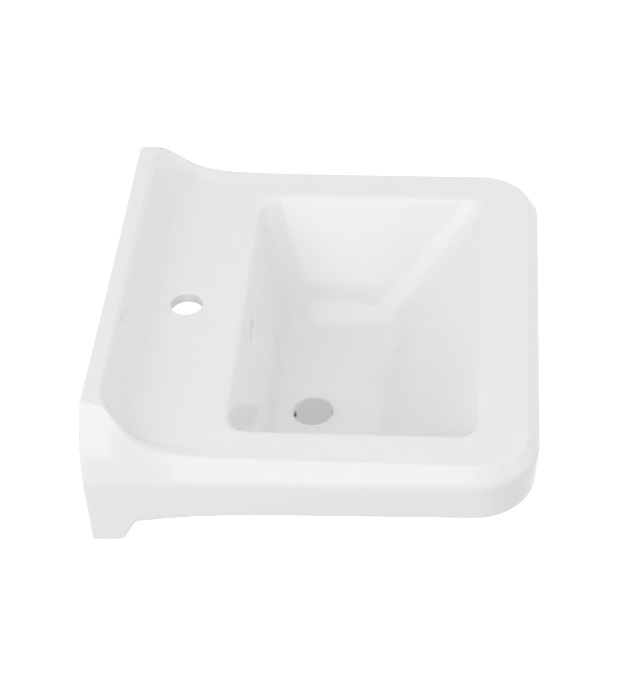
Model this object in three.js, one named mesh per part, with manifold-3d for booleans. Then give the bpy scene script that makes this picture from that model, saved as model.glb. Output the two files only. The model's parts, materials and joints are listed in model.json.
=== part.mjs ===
// Wall-hung washbasin in vitreous china, with the steel hanger and the screws that hold it to a wall.
//
// Frame, millimetres: the wall is the plane y = 0 and the user stands towards -Y. +Z is up, and z = 0 is the
// level of the rim 57 mm behind its front edge. X = 0 is the middle of the basin.
//
// The china is one surface. It is a family of closed outlines, each a rounded rectangle or a circle seen from
// above, that runs up the outside of the apron, over the rim, down the bowl, through the outlet, back up the
// outside of the bowl and down the inside of the apron. Every edge of that family is rounded by its own length.
import * as THREE from "three";
import { mergeVertices } from "three/addons/utils/BufferGeometryUtils.js";
import Module from "manifold-3d";

const wasm = await Module();
wasm.setup();

// ---------------------------------------------------------------- driving sizes, mm
const WIDTH = 510; // across the belt, the widest line of the apron
const DEPTH = 457; // from the wall to the front of the belt
const CHINA = 11; // wall of the bowl and apron
const SHELF = 12; // thickness of the rim and deck
const BELT_DROP = 17; // how far the belt lies below the rim
const BAND_SIDE = 13.5; // how far the rim's edge lies inside the belt at the sides
const BAND_FRONT = 11; // the same at the front
const FRONT_CORNER = 66; // plan radius of the belt at the front corners
const RIM_FALL = 0.023; // the rim falls this much per millimetre towards the front
const RIM_DATUM = 400; // distance from the wall at which the rim passes z = 0

const UPSTAND_TOP = 61; // top of the raised edge along the wall
const UPSTAND_DEPTH = 19.5; // its flat top, from the wall
const UPSTAND_FACE = 12.5; // how far its face runs forward on the way down to the deck
const SHOULDER_START = 14; // distance from the wall at which the upstand's ends begin to fall
const SHOULDER_RUN = 31.5; // beyond that, the distance at which half of their height is left
const SHOULDER_POWER = 2.75; // how suddenly they fall there
const SHOULDER_LEAN = 22; // how far the end lies inside the rim's edge at its full height
const SHOULDER_SWELL = 0.22; // how far its side swells out per millimetre that it rises
const FLARE = 3; // how far the belt widens on each side towards the wall
const FLARE_RUN = 120; // the distance from the wall over which it does
const CREST = 4; // width of the crest at the rim's edge
const CREST_CORNER_X = 40; // the crest's inner edge turns its rear corners in quarter ellipses this wide
const CREST_CORNER_Y = 26; // and this deep
const FOOT_INSIDE = 17.5; // the deck begins this far inside the rim's edge
const FOOT_CORNER_X = 30; // its rear corners are quarter ellipses this wide
const FOOT_CORNER_Y = 35; // and this deep
const ZONE_END = -150; // the sides follow their curves from the wall to here

const APRON_DROP = 61; // bottom edge of the apron below z = 0
const APRON_LEAN_SIDE = 0.8; // how far that edge lies inside the belt at the sides
const APRON_LEAN_FRONT = 4; // and at the front
const APRON_DIP = 9; // how much lower it hangs where it meets the lugs
const APRON_DIP_START = 196; // distance from the wall at which the dip begins
const LUG_DROP = 95.5; // bottom of the lugs below z = 0
const LUG_DEPTH = 30; // their bottom, from the wall
const LUG_SLOPE = 19; // the run over which they rise to the apron
const BACK_WALL = 12; // thickness of the wall behind the basin

const RIM_SIDE = 57; // from the belt to the bowl's opening at the sides
const RIM_FRONT = 60.5; // and at the front
const DECK_DEPTH = 139; // from the wall to the bowl's opening
const BOWL_CORNER = 22; // plan radius of the opening
const BOWL_DEPTH = 140; // floor's edge below z = 0
const BACK_LEAN = 21; // how far the bowl's rear wall runs forward on the way down
const FLOOR_HALF = 125; // half-width of the floor
const FLOOR_LENGTH = 130; // floor from its rear crease to its front crease
const FLOOR_CORNER = 46; // plan radius of the floor

const OUTLET_BACK = 204.8; // outlet's centre from the wall
const OUTLET_BORE = 45; // diameter of the outlet
const SEAT_BORE = 74; // diameter of the sunk ring round it
const SEAT_FALL = 6; // seat's outer edge below the floor's edge
const SEAT_SINK = 3; // and the bore's mouth below that
const OUTLET_LENGTH = 48; // length of the bore
const OUTLET_WALL = 10.5; // china round the bore

const TAP_BACK = 75.8; // tap hole's centre from the wall
const TAP_BORE = 35; // its diameter

const OVERFLOW_WIDTH = 30; // slot high in the bowl's rear wall
const OVERFLOW_HEIGHT = 8;
const OVERFLOW_DROP = 28; // its centre below z = 0
const DUCT_GAP = 8; // clear depth of the passage behind it
const DUCT_WALL = 6; // china round that passage
const DUCT_SET = 3; // how far the passage is sunk into the bowl's wall

const HANGER_HALF = 98; // half the length of the hanger's plate
const HANGER_TOP = -12; // its upper edge
const HANGER_BOTTOM = -60; // its lower edge
const STEEL = 3; // thickness of its sheet
const HOOK_OFFSET = 70; // hooks' centres from the middle
const HOOK_WIDTH = 30;
const HOOK_SEAT = -34.6; // upper face of the hook, which carries the china
const HOOK_TIP = -19; // top of its upturned end
const RELIEF_DEPTH = 10; // room behind the basin for plate and screw heads
const LIP = 10.6; // thickness of the china lip that hangs in the hook
const PLAY = 0.3; // gap between pieces that touch
const LIFT = 22; // how far the basin has to rise to leave the hooks
const SIDE_ROOM = 6; // room beside plate and hooks
const HEADROOM = 3; // room over them
const BEYOND = 5; // how far a cut runs past the face it leaves by

const HANGER_SCREW_PITCH = 42; // spacing of the three hanger screws
const HANGER_SCREW_LEVEL = -47;
const HANGER_SCREW = 5; // shank diameter
const HANGER_SCREW_REACH = 28; // how far they go into the wall
const ANCHOR_OFFSET = 128; // lower screws' distance from the middle
const ANCHOR_LEVEL = -80;
const ANCHOR_SCREW = 8;
const ANCHOR_REACH = 31;
const ANCHOR_HEAD = 7.5; // radius over the corners of its hexagon head
const ANCHOR_HEAD_HEIGHT = 5.3;
const ANCHOR_WASHER_RADIUS = 12;
const RUBBER_WASHER_RADIUS = 13;
const WASHER = 1.2; // thickness of the hanger's washers
const ANCHOR_WASHER = 1.6; // and of the lower screws' steel
const RUBBER_WASHER = 2.5; // and rubber washers

// ---------------------------------------------------------------- materials
const china = new THREE.MeshStandardMaterial({ color: 0xf2f3f4, roughness: 0.08, metalness: 0 });
const zinc = new THREE.MeshStandardMaterial({ color: 0xb9bcc0, roughness: 0.38, metalness: 1 });
const brightZinc = new THREE.MeshStandardMaterial({ color: 0xc8cacc, roughness: 0.28, metalness: 1 });
const rubber = new THREE.MeshStandardMaterial({ color: 0x26272a, roughness: 0.85, metalness: 0 });

// ---------------------------------------------------------------- solids
function toSolid(geometry) {
  const bare = geometry.index ? geometry.toNonIndexed() : geometry.clone();
  bare.deleteAttribute("normal");
  bare.deleteAttribute("uv");
  const merged = mergeVertices(bare, 1e-3);
  return new wasm.Manifold(
    new wasm.Mesh({
      numProp: 3,
      vertProperties: merged.attributes.position.array,
      triVerts: new Uint32Array(merged.index.array),
    }),
  );
}

function toGeometry(solid) {
  const mesh = solid.getMesh();
  const geometry = new THREE.BufferGeometry();
  geometry.setAttribute("position", new THREE.BufferAttribute(mesh.vertProperties, 3));
  geometry.setIndex(new THREE.BufferAttribute(mesh.triVerts, 1));
  geometry.computeVertexNormals();
  return geometry;
}

// A box between two corners.
function block([x0, y0, z0], [x1, y1, z1]) {
  const geometry = new THREE.BoxGeometry(x1 - x0, y1 - y0, z1 - z0);
  geometry.translate((x0 + x1) / 2, (y0 + y1) / 2, (z0 + z1) / 2);
  return toSolid(geometry);
}

// A round rod or hole along Z or Y.
function rod(diameter, from, to, segments = 32, along = "z") {
  const length = from.distanceTo(to);
  const geometry = new THREE.CylinderGeometry(diameter / 2, diameter / 2, length, segments);
  if (along === "z") geometry.rotateX(Math.PI / 2);
  const middle = from.clone().add(to).multiplyScalar(0.5);
  geometry.translate(middle.x, middle.y, middle.z);
  return toSolid(geometry);
}

// A shape drawn with its first axis along Y and its second along Z, carried along X.
function slice(points, centreX, width) {
  const shape = new THREE.Shape(points.map(([y, z]) => new THREE.Vector2(y, z)));
  const geometry = new THREE.ExtrudeGeometry(shape, { depth: width, bevelEnabled: false });
  geometry.applyMatrix4(new THREE.Matrix4().set(0, 0, 1, 0, 1, 0, 0, 0, 0, 1, 0, 0, 0, 0, 0, 1));
  geometry.translate(centreX - width / 2, 0, 0);
  return toSolid(geometry);
}

function named(name, solid, material) {
  const mesh = new THREE.Mesh(toGeometry(solid), material);
  mesh.name = name;
  return mesh;
}

// ---------------------------------------------------------------- heights
const smooth = (t) => {
  const c = Math.min(Math.max(t, 0), 1);
  return c * c * (3 - 2 * c);
};
const rimLevel = (y) => RIM_FALL * (y + RIM_DATUM);

// How far the upstand's end still stands above the rim, at a distance -y from the wall. It falls steeply at
// first and then tails off into the rim.
const upstandRise = UPSTAND_TOP - rimLevel(0);
const shoulder = (y) => {
  const beyond = Math.max(-y - SHOULDER_START, 0) / SHOULDER_RUN;
  return upstandRise / (1 + beyond ** SHOULDER_POWER);
};
const crestLevel = (y) => rimLevel(y) + shoulder(y);

// Bottom edge of the apron, which dips towards the wall and drops to the lugs.
const apronBottom = (y) => {
  const slopeEnd = LUG_DEPTH + LUG_SLOPE;
  const dip = Math.min(Math.max((y + APRON_DIP_START) / (APRON_DIP_START - slopeEnd), 0), 1);
  const edge = APRON_DROP + APRON_DIP * dip * dip;
  const lug = 1 - smooth((-y - LUG_DEPTH) / LUG_SLOPE);
  return -edge - (LUG_DROP - edge) * lug;
};
const underShelf = (y) => rimLevel(y) - SHELF;

// ---------------------------------------------------------------- outlines
const REAR_STEPS = 6;
const ZONE_STEPS = 12;
const TURN_STEPS = 6; // of those, the ones that a short rear corner takes
const SIDE_STEPS = 4;
const CORNER_STEPS = 6;
const FRONT_STEPS = 4;
const HALF_STEPS = REAR_STEPS + ZONE_STEPS + SIDE_STEPS + CORNER_STEPS + FRONT_STEPS;
const share = (steps) => Array.from({ length: steps }, (_, i) => i / steps);

// Mirrors half an outline, which runs from the middle of the rear to the middle of the front by way of +X.
function closeOutline(half) {
  const other = half.slice(1, -1).reverse().map(([x, y]) => [-x, y]);
  return half.concat(other);
}

// The part of an outline in front of zoneEnd: a side, a quarter ellipse at the front and half the front edge.
function frontPart({ half, front, rearEnd, cornerX, cornerY = cornerX, edge = () => half }) {
  const sideEnd = front + cornerY;
  const points = share(SIDE_STEPS).map((t) => {
    const y = rearEnd + (sideEnd - rearEnd) * t;
    return [edge(y), y];
  });
  for (const t of share(CORNER_STEPS)) {
    const turn = (t * Math.PI) / 2;
    points.push([half - cornerX * (1 - Math.cos(turn)), sideEnd - cornerY * Math.sin(turn)]);
  }
  for (const t of share(FRONT_STEPS)) points.push([(half - cornerX) * (1 - t), front]);
  points.push([0, front]);
  return points;
}

const rearEdge = (half, y) => share(REAR_STEPS).map((t) => [half * t, y]);
const ease = (t) => 1 - Math.cos((t * Math.PI) / 2);

// A rounded rectangle whose four corners are alike.
function rounded(half, rear, front, corner) {
  const rearEnd = rear - corner;
  const points = rearEdge(half - corner, rear);
  for (const t of share(ZONE_STEPS)) {
    const turn = (t * Math.PI) / 2;
    points.push([half - corner * (1 - Math.sin(turn)), rear - corner * ease(t)]);
  }
  return closeOutline(points.concat(frontPart({ half, front, rearEnd, cornerX: corner })));
}

// An outline whose sides follow a curve right up to its rear edge.
function curved({ sideAt, rear, ...size }) {
  const points = rearEdge(sideAt(rear), rear);
  for (const t of share(ZONE_STEPS)) {
    const y = rear + (ZONE_END - rear) * ease(t);
    points.push([sideAt(y), y]);
  }
  return closeOutline(points.concat(frontPart({ ...size, rearEnd: ZONE_END, edge: sideAt })));
}

// An outline whose rear corners are quarter ellipses, after which its sides follow a curve.
function turnedIn({ sideAt, rear, turnX, turnY, ...size }) {
  const turnEnd = rear - turnY;
  const outer = sideAt(turnEnd);
  const points = rearEdge(outer - turnX, rear);
  for (const t of share(TURN_STEPS)) {
    const turn = (t * Math.PI) / 2;
    points.push([outer - turnX * (1 - Math.sin(turn)), rear - turnY * ease(t)]);
  }
  const passed = ease(TURN_STEPS / ZONE_STEPS);
  for (const t of share(ZONE_STEPS).slice(TURN_STEPS)) {
    const y = turnEnd + ((ZONE_END - turnEnd) * (ease(t) - passed)) / (1 - passed);
    points.push([sideAt(y), y]);
  }
  return closeOutline(points.concat(frontPart({ ...size, rearEnd: ZONE_END, edge: sideAt })));
}

function circle(radius, centreY) {
  const half = Array.from({ length: HALF_STEPS + 1 }, (_, i) => {
    const turn = (i / HALF_STEPS) * Math.PI;
    return [radius * Math.sin(turn), centreY + radius * Math.cos(turn)];
  });
  half[0][0] = 0;
  half[HALF_STEPS][0] = 0;
  return closeOutline(half);
}

// An outline given its heights, as a ring of points. soft is how far from the edge its rounding starts.
function ring(outline, level, soft) {
  return {
    points: outline.map(([x, y]) => new THREE.Vector3(x, y, level(y))),
    soft: outline.map(([x, y]) => (typeof soft === "function" ? soft(x, y) : soft)),
  };
}

// Replaces each ring by three that round its edge: a quadratic curve that touches both neighbouring faces.
// A ring with no rounding of its own stays as it is.
function roundEdges(rings) {
  const count = rings.length;
  return rings.flatMap((here, k) => {
    if (Math.max(...here.soft) === 0) return [here.points];
    const before = rings[(k + count - 1) % count].points;
    const after = rings[(k + 1) % count].points;
    const rows = [[], [], []];
    here.points.forEach((corner, j) => {
      const back = before[j].clone().sub(corner);
      const ahead = after[j].clone().sub(corner);
      const reach = Math.min(here.soft[j], 0.45 * back.length(), 0.45 * ahead.length());
      const start = corner.clone().addScaledVector(back.normalize(), reach);
      const end = corner.clone().addScaledVector(ahead.normalize(), reach);
      const middle = start.clone().add(end).multiplyScalar(0.25).addScaledVector(corner, 0.5);
      rows[0].push(start);
      rows[1].push(middle);
      rows[2].push(end);
    });
    return rows;
  });
}

// Joins rings into one closed surface whose last ring meets the first.
function skin(rows) {
  const across = rows[0].length;
  const positions = rows.flatMap((row) => row.flatMap((p) => [p.x, p.y, p.z]));
  const index = [];
  rows.forEach((_, i) => {
    const next = ((i + 1) % rows.length) * across;
    for (let j = 0; j < across; j++) {
      const right = (j + 1) % across;
      const a = i * across + j;
      const b = i * across + right;
      index.push(a, next + j, b, b, next + j, next + right);
    }
  });
  const geometry = new THREE.BufferGeometry();
  geometry.setAttribute("position", new THREE.Float32BufferAttribute(positions, 3));
  geometry.setIndex(index);
  return toSolid(geometry);
}

// ---------------------------------------------------------------- china
const beltHalf = WIDTH / 2;
const bowlHalf = beltHalf - RIM_SIDE;
const bowlFront = -(DEPTH - RIM_FRONT);
const floorBack = -(DECK_DEPTH + BACK_LEAN);
const floorFront = floorBack - FLOOR_LENGTH;
const rimHalf = beltHalf - BAND_SIDE;
const beltAt = (y) => beltHalf + FLARE * (1 - smooth(-y / FLARE_RUN));
const crestHalf = (y) => rimHalf - SHOULDER_LEAN * (shoulder(y) / upstandRise) ** 2;
const bandHalf = (y) => (beltAt(y) + crestHalf(y)) / 2 + SHOULDER_SWELL * shoulder(y);
const bandLevel = (y) => (crestLevel(y) - BELT_DROP) / 2;
const seatLevel = -(BOWL_DEPTH + SEAT_FALL);
const mouthLevel = seatLevel - SEAT_SINK;
const outletBottom = mouthLevel - OUTLET_LENGTH;
const bellyLevel = -(BOWL_DEPTH + CHINA);

// The bowl turns from wall to floor in a long curve at the sides and a short one at front and rear.
const LONG_TURN = 62;
const SHORT_TURN = 17;
const floorTurn = (half) => (x, y) => {
  const middle = (floorBack + floorFront) / 2;
  const sideways = Math.abs(x) / half;
  const lengthways = Math.abs(y - middle) / (FLOOR_LENGTH / 2);
  return SHORT_TURN + (LONG_TURN - SHORT_TURN) * smooth((sideways - lengthways + 0.5) / 0.6);
};

// The front part of an outline at a distance inside the belt's side and front.
const insideBelt = (insideX, insideY) => ({
  half: beltHalf - insideX,
  front: -(DEPTH - insideY),
  cornerX: Math.max(FRONT_CORNER - insideX, 1),
  cornerY: Math.max(FRONT_CORNER - insideY, 1),
});

const apronOutline = (insideX, insideY, rear) =>
  curved({ sideAt: (y) => beltAt(y) - insideX, rear, ...insideBelt(insideX, insideY) });
const bandOutline = () => curved({ sideAt: bandHalf, rear: 0, ...insideBelt(BAND_SIDE / 2, BAND_FRONT / 2) });
const crestOutline = () => curved({ sideAt: crestHalf, rear: 0, ...insideBelt(BAND_SIDE, BAND_FRONT) });
const crestInnerOutline = () =>
  turnedIn({
    sideAt: (y) => crestHalf(y) - CREST,
    rear: -UPSTAND_DEPTH,
    turnX: CREST_CORNER_X,
    turnY: CREST_CORNER_Y,
    ...insideBelt(BAND_SIDE + CREST, BAND_FRONT + CREST),
  });
const footOutline = () =>
  turnedIn({
    sideAt: () => rimHalf - FOOT_INSIDE,
    rear: -(UPSTAND_DEPTH + UPSTAND_FACE),
    turnX: FOOT_CORNER_X,
    turnY: FOOT_CORNER_Y,
    ...insideBelt(BAND_SIDE + FOOT_INSIDE, BAND_FRONT + FOOT_INSIDE),
  });

// The bowl's opening and its floor, and the same two outlines outside its wall.
const openingOutline = (outside) =>
  rounded(bowlHalf + outside, outside - DECK_DEPTH, bowlFront - outside, BOWL_CORNER + outside);
const floorOutline = (outside) =>
  rounded(FLOOR_HALF + outside, floorBack + outside, floorFront - outside, FLOOR_CORNER + outside);

function chinaBody() {
  const level = (z) => () => z;
  const bore = OUTLET_BORE / 2;
  const boss = bore + OUTLET_WALL;
  return skin(
    roundEdges([
      ring(apronOutline(APRON_LEAN_SIDE, APRON_LEAN_FRONT, 0), apronBottom, 4),
      ring(apronOutline(0, 0, 0), level(-BELT_DROP), 5),
      ring(bandOutline(), bandLevel, 0),
      ring(crestOutline(), crestLevel, 6),
      ring(crestInnerOutline(), crestLevel, 5),
      ring(footOutline(), rimLevel, 9),
      ring(openingOutline(0), rimLevel, 6),
      ring(floorOutline(0), level(-BOWL_DEPTH), floorTurn(FLOOR_HALF)),
      ring(circle(SEAT_BORE / 2, -OUTLET_BACK), level(seatLevel), 2.5),
      ring(circle(bore, -OUTLET_BACK), level(mouthLevel), 3),
      ring(circle(bore, -OUTLET_BACK), level(outletBottom), 2),
      ring(circle(boss, -OUTLET_BACK), level(outletBottom), 3),
      ring(circle(boss + 2, -OUTLET_BACK), level(seatLevel - SHELF), 4),
      ring(floorOutline(CHINA), level(bellyLevel), floorTurn(FLOOR_HALF + CHINA)),
      ring(openingOutline(CHINA), underShelf, 8),
      ring(apronOutline(CHINA, CHINA, -BACK_WALL), underShelf, 8),
      ring(apronOutline(CHINA + APRON_LEAN_SIDE, CHINA + APRON_LEAN_FRONT, -BACK_WALL), apronBottom, 4),
    ]),
  );
}

// The thick part of the back wall in which the hanger lies: the hooks' depth with china behind them.
const lipFace = -(RELIEF_DEPTH + LIP);
const hookBack = lipFace - PLAY - STEEL;
const pocketBack = hookBack - 1;
const reliefHalf = HANGER_HALF + SIDE_ROOM;
const reliefTop = HANGER_TOP + HEADROOM;
const notchTop = apronBottom(-LUG_DEPTH - LUG_SLOPE) + 2;

function hangerBlock() {
  const half = reliefHalf + CHINA;
  return block([-half, pocketBack - CHINA, notchTop], [half, -BACK_WALL / 2, underShelf(0) + SHELF / 2]);
}

// Room for the plate, open below, so that the basin can rise off it.
function hangerRelief() {
  return block([-reliefHalf, -RELIEF_DEPTH, -LUG_DROP - BEYOND], [reliefHalf, BEYOND, reliefTop]);
}

// Room under the plate for pipes, between the lugs.
function pipeNotch() {
  return block([-reliefHalf, -BACK_WALL - BEYOND, -LUG_DROP - BEYOND], [reliefHalf, BEYOND, notchTop]);
}

// A hook's pocket, open below: a wide part under the lip and a narrow part behind it.
function hookPocket(centreX) {
  const left = centreX - HOOK_WIDTH / 2 - SIDE_ROOM;
  const right = centreX + HOOK_WIDTH / 2 + SIDE_ROOM;
  const below = notchTop - BEYOND;
  const under = block([left, pocketBack, below], [right, BEYOND, HOOK_SEAT + PLAY]);
  const behind = block([left, pocketBack, below], [right, lipFace, HOOK_TIP + HEADROOM]);
  return under.add(behind);
}

// The bowl's rear wall at a height, as its inner face's y.
const bowlBackAt = (z) => {
  const top = rimLevel(-DECK_DEPTH);
  return -DECK_DEPTH - (BACK_LEAN * (top - z)) / (top + BOWL_DEPTH);
};
const portTop = mouthLevel - 9;
const portBottom = portTop - DUCT_GAP;

// The overflow passage falls behind the bowl and turns into the side of the outlet.
function overflowHousing() {
  const outer = CHINA - DUCT_SET + DUCT_GAP + DUCT_WALL;
  const top = underShelf(-DECK_DEPTH) + 2;
  const inside = -OUTLET_BACK + OUTLET_BORE / 2 + 4;
  const points = [
    [bowlBackAt(top) + outer, top],
    [bowlBackAt(top) + 2, top],
    [bowlBackAt(-BOWL_DEPTH) + 6, -BOWL_DEPTH],
    [inside, bellyLevel + DUCT_SET],
    [inside, portBottom - DUCT_WALL],
    [bowlBackAt(portBottom) + outer - 8, portBottom - DUCT_WALL],
    [bowlBackAt(-BOWL_DEPTH) + outer, -BOWL_DEPTH],
  ];
  return slice(points, 0, OVERFLOW_WIDTH + 2 * DUCT_WALL);
}

function overflowPassage() {
  const near = CHINA - DUCT_SET;
  const far = near + DUCT_GAP;
  const top = -OVERFLOW_DROP + OVERFLOW_HEIGHT / 2 + 3;
  const inside = -OUTLET_BACK + OUTLET_BORE / 2 - 2;
  const turn = -BOWL_DEPTH - 4;
  const points = [
    [bowlBackAt(top) + far, top],
    [bowlBackAt(top) + near, top],
    [bowlBackAt(turn) + near + 2, turn],
    [bowlBackAt(portTop) + near - 2, portTop],
    [inside, portTop],
    [inside, portBottom],
    [bowlBackAt(portBottom) + far - 6, portBottom],
    [bowlBackAt(turn) + far, turn],
  ];
  return slice(points, 0, OVERFLOW_WIDTH);
}

function overflowSlot() {
  const middle = bowlBackAt(-OVERFLOW_DROP);
  const half = OVERFLOW_HEIGHT / 2;
  const points = [];
  for (const turn of share(20)) {
    const angle = turn * 2 * Math.PI;
    const side = Math.cos(angle) < 0 ? -1 : 1;
    const run = OVERFLOW_WIDTH / 2 - half - 1;
    points.push(new THREE.Vector2(side * run + half * Math.cos(angle), half * Math.sin(angle)));
  }
  const options = { depth: CHINA + BEYOND + 1, bevelEnabled: false };
  const geometry = new THREE.ExtrudeGeometry(new THREE.Shape(points), options);
  geometry.rotateX(Math.PI / 2);
  geometry.translate(0, middle + CHINA + 1, -OVERFLOW_DROP);
  return toSolid(geometry);
}

function tapHole() {
  const level = rimLevel(-TAP_BACK);
  const from = new THREE.Vector3(0, -TAP_BACK, level + BEYOND);
  return rod(TAP_BORE, from, new THREE.Vector3(0, -TAP_BACK, level - SHELF - BEYOND), 40);
}

function anchorHole(x) {
  const from = new THREE.Vector3(x, BEYOND, ANCHOR_LEVEL);
  return rod(ANCHOR_SCREW + 3, from, new THREE.Vector3(x, -BACK_WALL - BEYOND, ANCHOR_LEVEL), 20, "y");
}

function makeBasin() {
  let solid = chinaBody().add(hangerBlock()).add(overflowHousing());
  const cuts = [
    hangerRelief(),
    pipeNotch(),
    hookPocket(-HOOK_OFFSET),
    hookPocket(HOOK_OFFSET),
    overflowPassage(),
    overflowSlot(),
    tapHole(),
    anchorHole(-ANCHOR_OFFSET),
    anchorHole(ANCHOR_OFFSET),
  ];
  for (const cut of cuts) solid = solid.subtract(cut);
  return named("basin", solid, china);
}

// ---------------------------------------------------------------- hanger
// A hook: out from the plate's lower part, under the lip and up behind it, with a bent corner.
function hook(centreX) {
  const bend = 5;
  const out = hookBack;
  const low = HOOK_SEAT - STEEL;
  const points = [[-STEEL / 2, HOOK_SEAT], [out + STEEL, HOOK_SEAT], [out + STEEL, HOOK_TIP], [out, HOOK_TIP]];
  for (const t of share(5)) {
    const turn = (t * Math.PI) / 2;
    points.push([out + bend * (1 - Math.cos(turn)), low + bend * (1 - Math.sin(turn))]);
  }
  points.push([out + bend, low], [-STEEL / 2, low]);
  return slice(points, centreX, HOOK_WIDTH);
}

const hangerScrewPlaces = [-1, 0, 1].map((i) => i * HANGER_SCREW_PITCH);

function makeHanger() {
  const corner = 8;
  const height = HANGER_TOP - HANGER_BOTTOM;
  const shape = new THREE.Shape();
  shape.moveTo(-HANGER_HALF + corner, 0);
  shape.lineTo(HANGER_HALF - corner, 0);
  shape.absarc(HANGER_HALF - corner, corner, corner, -Math.PI / 2, 0);
  shape.absarc(HANGER_HALF - corner, height - corner, corner, 0, Math.PI / 2);
  shape.absarc(-HANGER_HALF + corner, height - corner, corner, Math.PI / 2, Math.PI);
  shape.absarc(-HANGER_HALF + corner, corner, corner, Math.PI, 1.5 * Math.PI);
  const options = { depth: STEEL, bevelEnabled: false, curveSegments: 5 };
  const geometry = new THREE.ExtrudeGeometry(shape, options);
  geometry.rotateX(Math.PI / 2);
  geometry.translate(0, 0, HANGER_BOTTOM);
  let solid = toSolid(geometry).add(hook(-HOOK_OFFSET)).add(hook(HOOK_OFFSET));
  for (const x of hangerScrewPlaces) {
    const from = new THREE.Vector3(x, BEYOND, HANGER_SCREW_LEVEL);
    const to = new THREE.Vector3(x, -STEEL - BEYOND, HANGER_SCREW_LEVEL);
    solid = solid.subtract(rod(HANGER_SCREW + 1, from, to, 20, "y"));
  }
  return named("wall_hanger", solid, zinc);
}

// ---------------------------------------------------------------- fasteners, turned about an axis along Y
// A turned profile given as radius and distance from the wall into the room, which its outer side runs along.
function turned(profile, x, z, segments = 20) {
  const points = profile.map(([radius, out]) => new THREE.Vector2(radius, -out)).reverse();
  const geometry = new THREE.LatheGeometry(points, segments);
  geometry.translate(x, 0, z);
  return toSolid(geometry);
}

function washer(name, x, z, inner, outer, from, thickness, material) {
  const to = from + thickness;
  const profile = [[inner, from], [outer, from], [outer, to], [inner, to], [inner, from]];
  return named(name, turned(profile, x, z, 24), material);
}

// A pointed shank from its tip in the wall to the seat under the head.
const shank = (radius, reach, seat) => [[0, -reach], [radius, -reach + 2.5 * radius], [radius, seat]];

function hangerScrews() {
  const radius = HANGER_SCREW / 2;
  const headRadius = HANGER_SCREW;
  const washerSeat = STEEL + PLAY;
  const seat = washerSeat + WASHER + PLAY;
  const headHeight = 3.2;
  const dome = [[headRadius, seat], [headRadius * 0.96, seat + 1.4], [headRadius * 0.7, seat + 2.6]];
  return hangerScrewPlaces.flatMap((x, i) => {
    const profile = shank(radius, HANGER_SCREW_REACH, seat).concat(dome, [[0, seat + headHeight]]);
    const z = HANGER_SCREW_LEVEL;
    const drive = block([x - 0.6, -seat - headHeight - 1, z - 6], [x + 0.6, -seat - headHeight + 1.4, z + 6]);
    const screw = turned(profile, x, z).subtract(drive);
    const ringName = `hanger_washer_${i + 1}`;
    return [
      named(`hanger_screw_${i + 1}`, screw, brightZinc),
      washer(ringName, x, z, radius + PLAY, headRadius + 1.5, washerSeat, WASHER, brightZinc),
    ];
  });
}

function anchorFixings(side, x) {
  const radius = ANCHOR_SCREW / 2;
  const z = ANCHOR_LEVEL;
  const rubberSeat = BACK_WALL + PLAY;
  const washerSeat = rubberSeat + RUBBER_WASHER + PLAY;
  const seat = washerSeat + ANCHOR_WASHER + PLAY;
  const head = new THREE.CylinderGeometry(ANCHOR_HEAD, ANCHOR_HEAD, ANCHOR_HEAD_HEIGHT, 6);
  head.translate(x, -seat - ANCHOR_HEAD_HEIGHT / 2, z);
  const profile = shank(radius, ANCHOR_REACH, seat + 1).concat([[0, seat + 1]]);
  const inner = radius + PLAY;
  return [
    named(`anchor_screw_${side}`, turned(profile, x, z).add(toSolid(head)), brightZinc),
    washer(`anchor_washer_${side}`, x, z, inner, ANCHOR_WASHER_RADIUS, washerSeat, ANCHOR_WASHER, brightZinc),
    washer(`rubber_washer_${side}`, x, z, inner, RUBBER_WASHER_RADIUS, rubberSeat, RUBBER_WASHER, rubber),
  ];
}

// ---------------------------------------------------------------- assembly
const fixed = new THREE.Group(); // stays on the wall
fixed.add(makeHanger(), ...hangerScrews());

const lifted = new THREE.Group(); // rises off the hooks together
lifted.add(makeBasin(), ...anchorFixings("left", -ANCHOR_OFFSET), ...anchorFixings("right", ANCHOR_OFFSET));

const washbasin = new THREE.Group();
washbasin.add(fixed, lifted);

export default washbasin;
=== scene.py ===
# %% [markdown]
# # A wall-hung washbasin, hung on a hidden steel hanger
# The basin is one casting of vitreous china: a thick glass coat over a pale, dense clay body. The hanger, its
# screws and its washers are small steel and rubber pieces behind it. Everything is in metres, in the frame of
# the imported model: the wall is the plane y = 0, the user stands towards -Y and z = 0 is the level of the rim.

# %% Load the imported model
import json
import math

import bpy
import numpy as np
from mathutils import Matrix, Vector


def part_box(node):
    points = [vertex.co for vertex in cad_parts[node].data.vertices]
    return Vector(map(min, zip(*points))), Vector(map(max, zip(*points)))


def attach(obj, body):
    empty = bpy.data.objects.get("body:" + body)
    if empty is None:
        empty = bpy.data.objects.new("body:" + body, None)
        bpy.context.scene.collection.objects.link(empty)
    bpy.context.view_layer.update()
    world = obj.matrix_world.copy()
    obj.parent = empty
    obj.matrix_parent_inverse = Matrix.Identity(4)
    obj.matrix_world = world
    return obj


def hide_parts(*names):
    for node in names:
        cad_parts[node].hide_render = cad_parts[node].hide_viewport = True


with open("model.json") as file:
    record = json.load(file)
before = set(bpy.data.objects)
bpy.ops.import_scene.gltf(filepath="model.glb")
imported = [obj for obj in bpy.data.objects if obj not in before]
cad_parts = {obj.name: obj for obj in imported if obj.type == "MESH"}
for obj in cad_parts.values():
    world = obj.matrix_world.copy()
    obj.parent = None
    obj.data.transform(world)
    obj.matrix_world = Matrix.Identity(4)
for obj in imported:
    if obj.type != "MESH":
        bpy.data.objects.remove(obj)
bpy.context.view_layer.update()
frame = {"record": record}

MM = 0.001

# %% [markdown]
# ## The camera
# A long lens, a little above and to the left of the basin, looks along the wall. Such a lens flattens
# perspective, which is why the near and far sides look almost equally long. The camera is built from the
# three axes of its own view: right, up and backwards are the columns of its rotation.

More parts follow.
